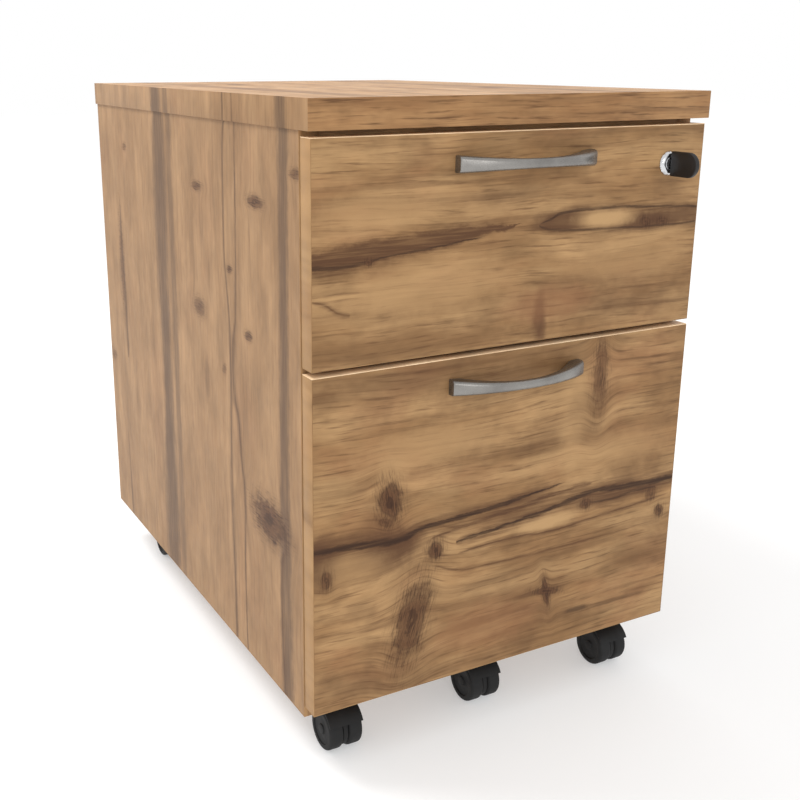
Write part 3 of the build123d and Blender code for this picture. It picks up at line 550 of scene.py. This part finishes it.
bottomFrontMarks = {
    "knots": [(0.077, 0.196, 0.010, 0.017, -10, 1.0), (0.126, 0.137, 0.0075, 0.008, 0, 1.0),
              (0.101, 0.070, 0.014, 0.034, 14, 0.9), (0.258, 0.062, 0.0035, 0.015, -12, 1.0),
              (0.259, 0.063, 0.015, 0.0035, 12, 0.9),
              (0.310, 0.281, 0.008, 0.030, 0, 0.65), (0.402, 0.121, 0.006, 0.006, 0, 0.9),
              (0.302, 0.148, 0.006, 0.005, 0, 0.8), (0.388, 0.142, 0.007, 0.006, 0, 0.6),
              (0.013, 0.133, 0.005, 0.008, 0, 0.8), (0.073, 0.176, 0.008, 0.004, 20, 0.7)],
    "stains": [(0.006, 0.150, 0.014, 0.016, "band", 0.85), (0.078, 0.148, 0.022, 0.012, "band", 0.85),
               (0.040, 0.140, 0.022, 0.010, "light", 0.5), (0.190, 0.045, 0.040, 0.016, "warm", 0.35),
               (0.120, 0.240, 0.050, 0.012, "light", 0.6), (0.330, 0.200, 0.050, 0.012, "light", 0.5),
               (0.078, 0.222, 0.010, 0.008, "light", 0.7), (0.210, 0.290, 0.060, 0.010, "dark", 0.35),
               (0.060, 0.020, 0.060, 0.012, "dark", 0.35), (0.380, 0.080, 0.030, 0.014, "dark", 0.3),
               (0.345, 0.151, 0.040, 0.006, "band", 0.55), (0.250, 0.138, 0.024, 0.005, "pale", 0.9),
               (0.250, 0.064, 0.026, 0.002, "band", 0.6), (0.302, 0.250, 0.014, 0.020, "dark", 0.3),
               (0.280, 0.255, 0.010, 0.040, "pale", 0.3), (0.150, 0.305, 0.110, 0.012, "dark", 0.35),
               (0.300, 0.033, 0.010, 0.0018, "crack", 0.6), (0.345, 0.031, 0.024, 0.0015, "crack", 0.4)],
    "paths": [
        ([(0.0, 0.162, 0.0028), (0.025, 0.161, 0.0032), (0.06, 0.158, 0.0036), (0.085, 0.156, 0.0034),
          (0.11, 0.162, 0.0028), (0.16, 0.165, 0.0024), (0.21, 0.169, 0.0018), (0.24, 0.173, 0.0012),
          (0.28, 0.177, 0.0)], "crack", 0.9, 0.006),
        ([(0.148, 0.140, 0.0), (0.17, 0.142, 0.0018), (0.21, 0.146, 0.0020), (0.26, 0.152, 0.0022),
          (0.29, 0.157, 0.0030), (0.31, 0.160, 0.0024), (0.34, 0.158, 0.0032), (0.375, 0.156, 0.0036),
          (0.417, 0.155, 0.0030)], "crack", 0.9, 0.006),
        ([(0.12, 0.150, 0.0), (0.16, 0.155, 0.0016), (0.22, 0.161, 0.0020), (0.27, 0.167, 0.0016),
          (0.31, 0.170, 0.0)], "band", 0.8, 0.005),
        ([(0.15, 0.128, 0.0), (0.21, 0.131, 0.0010), (0.26, 0.128, 0.0010), (0.31, 0.131, 0.0008),
          (0.36, 0.134, 0.0007), (0.417, 0.139, 0.0)], "band", 0.7, 0.003),
        ([(0.304, 0.150, 0.0), (0.33, 0.147, 0.0014), (0.375, 0.150, 0.0014), (0.395, 0.146, 0.0)],
         "crack", 0.6, 0.004),
        ([(0.05, 0.119, 0.0), (0.10, 0.125, 0.0), (0.16, 0.110, 0.0008), (0.30, 0.108, 0.0006),
          (0.417, 0.112, 0.0)], "dark", 0.6, 0.003),
    ],
}

# the side board: along is height, across is depth from its front edge
sideMarks = {
    "knots": [(0.463, 0.090, 0.0045, 0.014, 0, 0.8), (0.463, 0.235, 0.004, 0.012, 0, 0.7),
              (0.393, 0.154, 0.003, 0.005, 0, 0.8), (0.337, 0.112, 0.004, 0.007, 0, 0.8),
              (0.340, 0.238, 0.008, 0.013, 0, 0.6), (0.290, 0.174, 0.005, 0.004, 0, 0.5),
              (0.168, 0.070, 0.016, 0.030, 0, 0.95), (0.345, 0.507, 0.045, 0.007, 0, 0.5),
              (0.485, 0.474, 0.004, 0.006, 0, 0.5), (0.210, 0.564, 0.006, 0.009, 0, 0.5),
              (0.495, 0.006, 0.004, 0.009, 0, 0.6)],
    "stains": [(0.265, 0.222, 0.016, 0.004, "band", 0.4)],
    "paths": [
        ([(0.0, 0.355, 0.014), (0.05, 0.354, 0.016), (0.15, 0.351, 0.012), (0.24, 0.349, 0.009),
          (0.35, 0.351, 0.012), (0.45, 0.349, 0.014), (0.53, 0.347, 0.010)], "grey", 0.7, 0.012),
        ([(0.0, 0.034, 0.008), (0.20, 0.036, 0.007), (0.35, 0.034, 0.006), (0.53, 0.031, 0.007)],
         "grey", 0.65, 0.010),
        ([(0.0, 0.319, 0.005), (0.25, 0.317, 0.006), (0.53, 0.314, 0.005)], "grey", 0.4, 0.010),
        ([(0.0, 0.131, 0.0008), (0.10, 0.132, 0.0008), (0.17, 0.129, 0.0012), (0.20, 0.134, 0.0014),
          (0.25, 0.141, 0.0020), (0.29, 0.151, 0.0026), (0.32, 0.149, 0.0020), (0.35, 0.142, 0.0010),
          (0.45, 0.136, 0.0006), (0.53, 0.134, 0.0006)], "band", 0.7, 0.004),
        ([(0.0, 0.160, 0.0012), (0.05, 0.160, 0.0014), (0.18, 0.162, 0.0014), (0.31, 0.157, 0.0012),
          (0.38, 0.163, 0.0008), (0.42, 0.166, 0.0008), (0.53, 0.156, 0.0008)], "band", 0.65, 0.003),
        ([(0.22, 0.503, 0.0), (0.25, 0.501, 0.002), (0.30, 0.501, 0.0024), (0.36, 0.504, 0.0018),
          (0.43, 0.504, 0.0)], "crack", 0.5, 0.003),
        ([(0.0, 0.519, 0.0014), (0.07, 0.520, 0.0010), (0.13, 0.524, 0.0)], "band", 0.6, 0.003),
        ([(0.0, 0.039, 0.0012), (0.10, 0.045, 0.0016), (0.15, 0.040, 0.0)], "band", 0.6, 0.003),
    ],
}

# painted light and shade: the one oak decor gets its own tone set on the sides, the edge bands and the top's
# front edge, each set to how light falls on that face; the fronts keep oakTones
sidePaintedShadingTones = dict(oakTones, light=shade(162, 128, 93), middle=shade(149, 116, 83), dark=shade(110, 81, 56),
                 warm=shade(150, 112, 80), grey=shade(92, 71, 55), band=shade(86, 62, 44))
# painted light: the top face gets a lighter copy of the oak tones, standing in for the light that falls on it
# from above
topPaintedLightTones = dict(oakTones, light=shade(196, 158, 118), middle=shade(178, 138, 98), dark=shade(122, 88, 60),
                warm=shade(180, 138, 100))
edgePaintedShadingTones = dict(oakTones, light=shade(176, 140, 98), middle=shade(156, 120, 82))
topEdgePaintedShadingTones = dict(oakTones, light=shade(172, 132, 90), middle=shade(148, 109, 72))
# painted light: the fronts' top edge bands get a far lighter tone, standing in for light reaching them inside
# the gaps between the boards
paintedLightEdgeTones = dict(oakTones, light=shade(246, 218, 180), middle=shade(238, 204, 164),
                     dark=shade(206, 166, 126))

topSurfaceMarks = {
    "knots": [(0.430, 0.120, 0.020, 0.009, 0, 0.8), (0.180, 0.300, 0.016, 0.008, 0, 0.7)],
    "paths": [
        ([(0.0, 0.060, 0.010), (0.30, 0.066, 0.014), (0.60, 0.058, 0.010)], "band", 0.3, 0.012),
        ([(0.0, 0.210, 0.0010), (0.20, 0.214, 0.0016), (0.42, 0.206, 0.0010), (0.60, 0.212, 0.0008)],
         "band", 0.6, 0.005),
        ([(0.0, 0.330, 0.012), (0.30, 0.322, 0.016), (0.60, 0.332, 0.012)], "band", 0.35, 0.014),
    ],
}
hiddenFaceMarks = {"knots": [(0.22, 0.14, 0.012, 0.016, 0, 0.8), (0.38, 0.27, 0.010, 0.012, 0, 0.7)]}

panelBox = {name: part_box(name) for name in (
    "top_panel", "left_side_panel", "right_side_panel", "cross_rail", "back_panel", "base_panel",
    "top_drawer_front", "bottom_drawer_front")}

# key: material name, grain axes, board whose corner the marks start from, marks, tones, seed, streaks
oakFaceList = {
    "topPanel": ("oakTopFace", "YXZ", "top_panel", topSurfaceMarks, topPaintedLightTones, 2.0, 0.5),
    "topFront": ("oakTopFront", "XZY", "top_drawer_front", topFrontMarks, oakTones, 5.0, 0.45),
    "bottomFront": ("oakBottomFront", "XZY", "bottom_drawer_front", bottomFrontMarks, oakTones, 9.0, 0.45),
    "leftSide": ("oakLeftSide", "ZYX", "left_side_panel", sideMarks, sidePaintedShadingTones, 14.0, 0.25),
    "rightSide": ("oakRightSide", "ZYX", "right_side_panel", sideMarks, sidePaintedShadingTones, 31.0, 0.25),
    "back": ("oakBack", "ZXY", "back_panel", hiddenFaceMarks, sidePaintedShadingTones, 44.0, 0.3),
    "base": ("oakBase", "YXZ", "base_panel", {}, sidePaintedShadingTones, 52.0, 0.3),
    "topFrontEdge": ("oakTopFrontEdge", "XZY", "top_panel", {}, topEdgePaintedShadingTones, 23.0, 0.6),
    "paintedLightEdge": ("oakPaintedLightEdge", "XYZ", "bottom_drawer_front", {}, paintedLightEdgeTones, 83.0, 0.4),
    "edgeX": ("oakEdgeAcross", "XZY", "top_panel", {}, edgePaintedShadingTones, 60.0, 0.5),
    "edgeZ": ("oakEdgeUpright", "ZXY", "left_side_panel", {}, edgePaintedShadingTones, 67.0, 0.4),
    "edgeY": ("oakEdgeDeep", "YZX", "top_panel", {}, edgePaintedShadingTones, 71.0, 0.4),
}
oakFaces = {
    key: oakMaterial(name, axes, tuple(panelBox[board][0]), marks, tones, seed, streaks)
    for key, (name, axes, board, marks, tones, seed, streaks) in oakFaceList.items()}
print("oak materials ready")


# plain finishes

def laidFinish(group, shaderValues, bump, **values):
    # bump: strength and height in metres, or nothing
    material, tree, shader = newMaterial(values.pop("name"), **shaderValues)
    vector = objectPlace(tree)
    if values.pop("turned", False):
        x, y, z = separated(tree, vector)
        vector = combined(tree, calc(tree, "ADD", x, y), z, 0.0)
    finish = useGroup(tree, group, Vector=vector, **values)
    tree.links.new(finish["Color"], shader.inputs["Base Color"])
    tree.links.new(finish["Roughness"], shader.inputs["Roughness"])
    if bump:
        bumpFrom(tree, shader, finish["Height"], *bump)
    return material


def metalMaterial(name, tone, worn, gloss, grain, bump=0.08, metallic=1.0):
    return laidFinish(brushedFinish, {"Metallic": metallic}, (bump, 0.00005), name=name,
                      Grain=grain, Gloss=gloss, Tone=shade(*tone), Worn=shade(*worn))


def plasticMaterial(name, tone, gloss, grain):
    return laidFinish(mouldedSkin, {"Specular_IOR_Level": 0.45}, (0.25, 0.00006), name=name,
                      Grain=grain, Gloss=gloss, Tone=shade(*tone))


# metals: tone, worn tone, roughness, fineness of the marks, bump, metallic
# plastics: tone, roughness, fineness
finishes = {
    "drawer_board": laidFinish(
        boardGrain, {"Specular_IOR_Level": 0.4}, (0.1, 0.0001), name="drawerBoard", turned=True,
        Seed=80.0, Streaks=0.06, Light=shade(224, 214, 198), Middle=shade(214, 202, 184),
        Dark=shade(190, 174, 152), Warm=shade(214, 198, 178)),
    "beech_dowel": laidFinish(
        boardGrain, {}, None, name="beechDowel", Seed=90.0, Streaks=0.1, Light=shade(222, 186, 146),
        Middle=shade(208, 168, 126), Dark=shade(176, 134, 94), Warm=shade(212, 166, 126)),
    "zinc_fittings": metalMaterial("zincPlate", (196, 198, 200), (168, 168, 166), 0.38,
                                   (400.0, 400.0, 400.0)),
    "runner_steel": metalMaterial("runnerSteel", (190, 192, 195), (160, 162, 166), 0.3,
                                  (900.0, 40.0, 900.0)),
    "handle_grey": metalMaterial("handleSatin", (146, 143, 139), (124, 121, 118), 0.3,
                                 (60.0, 1800.0, 1800.0), 0.05, 0.9),
    "lock_chrome": metalMaterial("lockNickel", (215, 216, 218), (196, 197, 200), 0.16,
                                 (700.0, 700.0, 700.0), 0.03),
    "key_plastic": plasticMaterial("keyPlastic", (26, 25, 25), 0.5, 1500.0),
    "castor_plastic": plasticMaterial("castorPlastic", (11, 11, 12), 0.7, 1300.0),
    "castor_steel": metalMaterial("castorSteel", (150, 151, 152), (110, 110, 110), 0.36,
                                  (500.0, 500.0, 500.0)),
}
print("finishes ready")


# oak boards with edge banding

bandSizes = {"thickness": 0.0008, "round": 0.0003, "faceRound": 0.00012}


def bandedBoard(name, node, bands, faceMaterial, shape=None):
    # bands: (side, edge material), a side being an axis letter with - or + for its low or high end
    low, high = [list(corner) for corner in panelBox[node]]
    outerLow, outerHigh = list(low), list(high)
    for side, material in bands:
        axis = axisNames.index(side[1])
        bandLow, bandHigh = list(low), list(high)
        if side[0] == "-":
            bandHigh[axis] = outerLow[axis] + bandSizes["thickness"]
            low[axis] = bandHigh[axis]
        else:
            bandLow[axis] = outerHigh[axis] - bandSizes["thickness"]
            high[axis] = bandLow[axis]
        band = blockBetween(bandLow, bandHigh)
        roundEdges(band, bandSizes["round"])
        smoothByAngle(band)
        bandName = name + "Band" + side[1] + ("Low" if side[0] == "-" else "High")
        finishPiece(band, bandName, bodyOfNode[node], material)
    core = blockBetween(low, high)
    if shape:
        shape(core)
    roundEdges(core, bandSizes["faceRound"], 1)
    smoothByAngle(core)
    finishPiece(core, name, bodyOfNode[node], faceMaterial, (node,))


def cutAlong(piece, axis, places):
    chooseOnly(piece)
    bpy.ops.object.mode_set(mode="EDIT")
    for place in places:
        bpy.ops.mesh.select_all(action="SELECT")
        point, normal = [0.0, 0.0, 0.0], [0.0, 0.0, 0.0]
        point[axis], normal[axis] = place, 1.0
        bpy.ops.mesh.bisect(plane_co=point, plane_no=normal)
    bpy.ops.object.mode_set(mode="OBJECT")


def selectFaces(piece, test):
    chooseOnly(piece)
    bpy.ops.object.mode_set(mode="EDIT")
    bpy.ops.mesh.select_all(action="DESELECT")
    bpy.ops.mesh.select_mode(type="FACE")
    bpy.ops.object.mode_set(mode="OBJECT")
    for face in piece.data.polygons:
        face.select = test(face.center, face.normal)
    bpy.ops.object.mode_set(mode="EDIT")


grooveSizes = {"depth": 0.005, "guideLip": 0.0025}


def cutBarGroove(piece):
    # the groove that the locking bar slides in
    guideLow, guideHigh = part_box("locking_bar_guides")
    middle = (guideLow.y + guideHigh.y) / 2
    half = (guideHigh.y - guideLow.y) / 2 - grooveSizes["guideLip"]
    baseTop = panelBox["base_panel"][1].z
    cutAlong(piece, 1, (middle - half, middle + half))
    cutAlong(piece, 2, (baseTop,))

    def isGroove(centre, normal):
        return normal.x < -0.5 and abs(centre.y - middle) < half and centre.z > baseTop

    selectFaces(piece, isGroove)
    bpy.ops.mesh.extrude_region_move(TRANSFORM_OT_translate={"value": (grooveSizes["depth"], 0.0, 0.0)})
    bpy.ops.object.mode_set(mode="OBJECT")
    cleanNormals(piece)


boreSizes = {"radius": 0.00905, "reach": 0.03, "sides": 64}


def cutLockBore(piece):
    # the bore that the lock's barrel passes through
    low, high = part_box("lock_plug")
    bpy.ops.object.select_all(action="DESELECT")
    bpy.ops.mesh.primitive_cylinder_add(
        vertices=boreSizes["sides"], radius=boreSizes["radius"], depth=2 * boreSizes["reach"],
        location=(low + high) / 2, rotation=(math.pi / 2, 0.0, 0.0))
    cutter = bpy.context.active_object
    applyPlace(cutter)
    applyModifier(piece, "BOOLEAN", object=cutter, operation="DIFFERENCE", solver="EXACT")
    bpy.data.objects.remove(cutter)


edgeX, edgeY, edgeZ = (oakFaces[name] for name in ("edgeX", "edgeY", "edgeZ"))
topBands = (("-Y", oakFaces["topFrontEdge"]), ("+Y", edgeX),
            ("-X", oakFaces["leftSide"]), ("+X", oakFaces["rightSide"]))
sideBands = (("-Y", edgeZ), ("+Y", edgeZ), ("-Z", edgeY))
# the +Z band of each front is painted light, lighter than its own oak, so that edge reads lit inside the gap
frontBands = (("-Z", edgeX), ("+Z", oakFaces["paintedLightEdge"]), ("-X", edgeZ), ("+X", edgeZ))
bandedBoard("topBoard", "top_panel", topBands, oakFaces["topPanel"])
bandedBoard("leftSideBoard", "left_side_panel", sideBands, oakFaces["leftSide"])
bandedBoard("rightSideBoard", "right_side_panel", sideBands, oakFaces["rightSide"], cutBarGroove)
bandedBoard("crossRailBoard", "cross_rail", (("-Y", edgeX),), oakFaces["base"])
bandedBoard("backBoard", "back_panel", (("-Z", edgeX),), oakFaces["back"])
bandedBoard("topFrontBoard", "top_drawer_front", frontBands, oakFaces["topFront"], cutLockBore)
bandedBoard("bottomFrontBoard", "bottom_drawer_front", frontBands, oakFaces["bottomFront"])
print("oak boards ready")


# CAD parts whose shape stays: a merged copy gets soft edges

softEdges = {
    "default": 0.0003,
    "drawer_board": 0.0006,
    "zinc_fittings": 0.0002,
    "runner_steel": 0.0002,
    "castor_plastic": 0.0005,
    "key_plastic": 0.0002,
    "lock_chrome": 0.0002,
    "castor_steel": 0.0001,
    "handle_grey": 0.0,
}
remodelled = {"top_panel", "left_side_panel", "right_side_panel", "cross_rail", "back_panel",
              "top_drawer_front", "bottom_drawer_front"}
keptPlain = {"panel_dowels", "panel_cams", "top_ball_cages", "bottom_ball_cages"}


recess = {"length": 0.0038, "width": 0.0008, "depth": 0.00045}
flatHeadShare = 0.9    # a head's flat is at least this part of the largest face


def cutCrosses(piece):
    # a cross recess in the flat head of every screw
    largest = max(face.area for face in piece.data.polygons)
    heads = [(face.center.copy(), face.normal.copy()) for face in piece.data.polygons
             if face.area > flatHeadShare * largest]
    size = Matrix.Diagonal((recess["length"], recess["width"], 2 * recess["depth"], 1.0))
    cutters = []
    for centre, normal in heads:
        facing = normal.to_track_quat("Z", "Y").to_matrix().to_4x4()
        for quarter in (0.5, 1.5):
            bpy.ops.object.select_all(action="DESELECT")
            bpy.ops.mesh.primitive_cube_add(size=1)
            cutter = bpy.context.active_object
            turn = Matrix.Rotation(quarter * math.pi / 2, 4, "Z")
            cutter.matrix_world = Matrix.Translation(centre) @ facing @ turn @ size
            applyPlace(cutter)
            cutters.append(cutter)
    cutter = joined(cutters)
    applyModifier(piece, "BOOLEAN", object=cutter, operation="DIFFERENCE", solver="EXACT", use_self=True)
    bpy.data.objects.remove(cutter)
    print(piece.name, len(heads), "cross recesses")


copyLimits = {"mergeDistance": 0.000002, "flatAngle": 0.5, "roundAngle": 50, "smoothAngle": 40}


def softenedCopy(node):
    slot = slotOfNode[node]
    copy = cadNodes[node].copy()
    copy.data = cadNodes[node].data.copy()
    copy.parent = None
    for key in list(copy.keys()):
        del copy[key]
    bpy.context.scene.collection.objects.link(copy)
    chooseOnly(copy)
    bpy.ops.object.mode_set(mode="EDIT")
    bpy.ops.mesh.select_all(action="SELECT")
    bpy.ops.mesh.remove_doubles(threshold=copyLimits["mergeDistance"])
    bpy.ops.mesh.dissolve_limited(angle_limit=math.radians(copyLimits["flatAngle"]))
    bpy.ops.object.mode_set(mode="OBJECT")
    width = softEdges.get(slot, softEdges["default"])
    if node.endswith("_screws"):
        cutCrosses(copy)
    elif width:
        roundEdges(copy, width, 2, copyLimits["roundAngle"])
    smoothByAngle(copy, copyLimits["smoothAngle"])
    material = oakFaces["base"] if slot == "oak_board" else finishes[slot]
    finishPiece(copy, node + "Shown", bodyOfNode[node], material, (node,))


for node in sorted(cadNodes):
    if node in keptPlain:
        cadNodes[node].data.materials.clear()
        cadNodes[node].data.materials.append(finishes[slotOfNode[node]])
    elif node not in remodelled:
        softenedCopy(node)
print("fittings ready")


# floor, light and camera

floorValues = {"size": 24.0, "dull": (0.64, 0.64, 0.64, 1.0), "bright": (0.66, 0.66, 0.66, 1.0), "lift": 0.55}


def makeStage():
    bpy.ops.object.select_all(action="DESELECT")
    bpy.ops.mesh.primitive_plane_add(size=floorValues["size"], location=(0.0, 0.0, 0.0))
    floor = bpy.context.active_object
    floor.name = "floor"
    material, tree, shader = newMaterial("floorWhite", Roughness=0.9, Specular_IOR_Level=0.1)
    haze = noiseOf(tree, objectPlace(tree), 1.5, 2.0)
    color = mixColor(tree, rangeOf(tree, haze, 0.3, 0.7), floorValues["dull"], floorValues["bright"])
    tree.links.new(color, shader.inputs["Base Color"])
    tree.links.new(color, shader.inputs["Emission Color"])
    shader.inputs["Emission Strength"].default_value = floorValues["lift"]
    floor.data.materials.append(material)


def makeLamp(name, place, target, size, power):
    data = bpy.data.lights.new(name, "AREA")
    data.shape = "DISK"
    data.size = size
    data.energy = power
    lamp = bpy.data.objects.new(name, data)
    bpy.context.scene.collection.objects.link(lamp)
    lamp.location = place
    lamp.rotation_euler = (Vector(target) - Vector(place)).to_track_quat("-Z", "Y").to_euler()


lightValues = {
    "surround": 1.0,
    "keyLamp": {"place": (-1.3, 0.9, 2.6), "target": (0.0, 0.0, 0.3), "size": 1.0, "power": 46.0},
    "frontLamp": {"place": (-0.8, -2.6, 1.2), "target": (0.0, 0.0, 0.3), "size": 1.6, "power": 10.0},
}


def makeLight():
    world = bpy.data.worlds.new("studio")
    bpy.context.scene.world = world
    world.use_nodes = True
    background = world.node_tree.nodes["Background"]
    background.inputs["Color"].default_value = (1.0, 1.0, 1.0, 1.0)
    background.inputs["Strength"].default_value = lightValues["surround"]
    for name in ("keyLamp", "frontLamp"):
        makeLamp(name, **lightValues[name])


# the view that the cabinet is shown from, in the frame's metres
cameraValues = {
    "place": (-0.582126, -1.037538, 0.638723), "right": (0.885919, -0.463840, -0.000487),
    "up": (0.126792, 0.241158, 0.962168), "sensor": 36.0, "lens": 48.2, "shiftX": 0.0801, "shiftY": -0.0472,
}


def makeCamera():
    data = bpy.data.cameras.new("viewCamera")
    data.sensor_width = cameraValues["sensor"]
    data.lens = cameraValues["lens"]
    data.shift_x, data.shift_y = cameraValues["shiftX"], cameraValues["shiftY"]
    camera = bpy.data.objects.new("viewCamera", data)
    bpy.context.scene.collection.objects.link(camera)
    right, up = Vector(cameraValues["right"]), Vector(cameraValues["up"])
    turn = Matrix((right, up, right.cross(up))).transposed()
    camera.rotation_euler = turn.to_euler()
    camera.location = cameraValues["place"]
    bpy.context.scene.camera = camera


makeStage()
makeLight()
makeCamera()
bpy.context.scene.view_settings.view_transform = "Standard"
print("floor, light and camera ready")
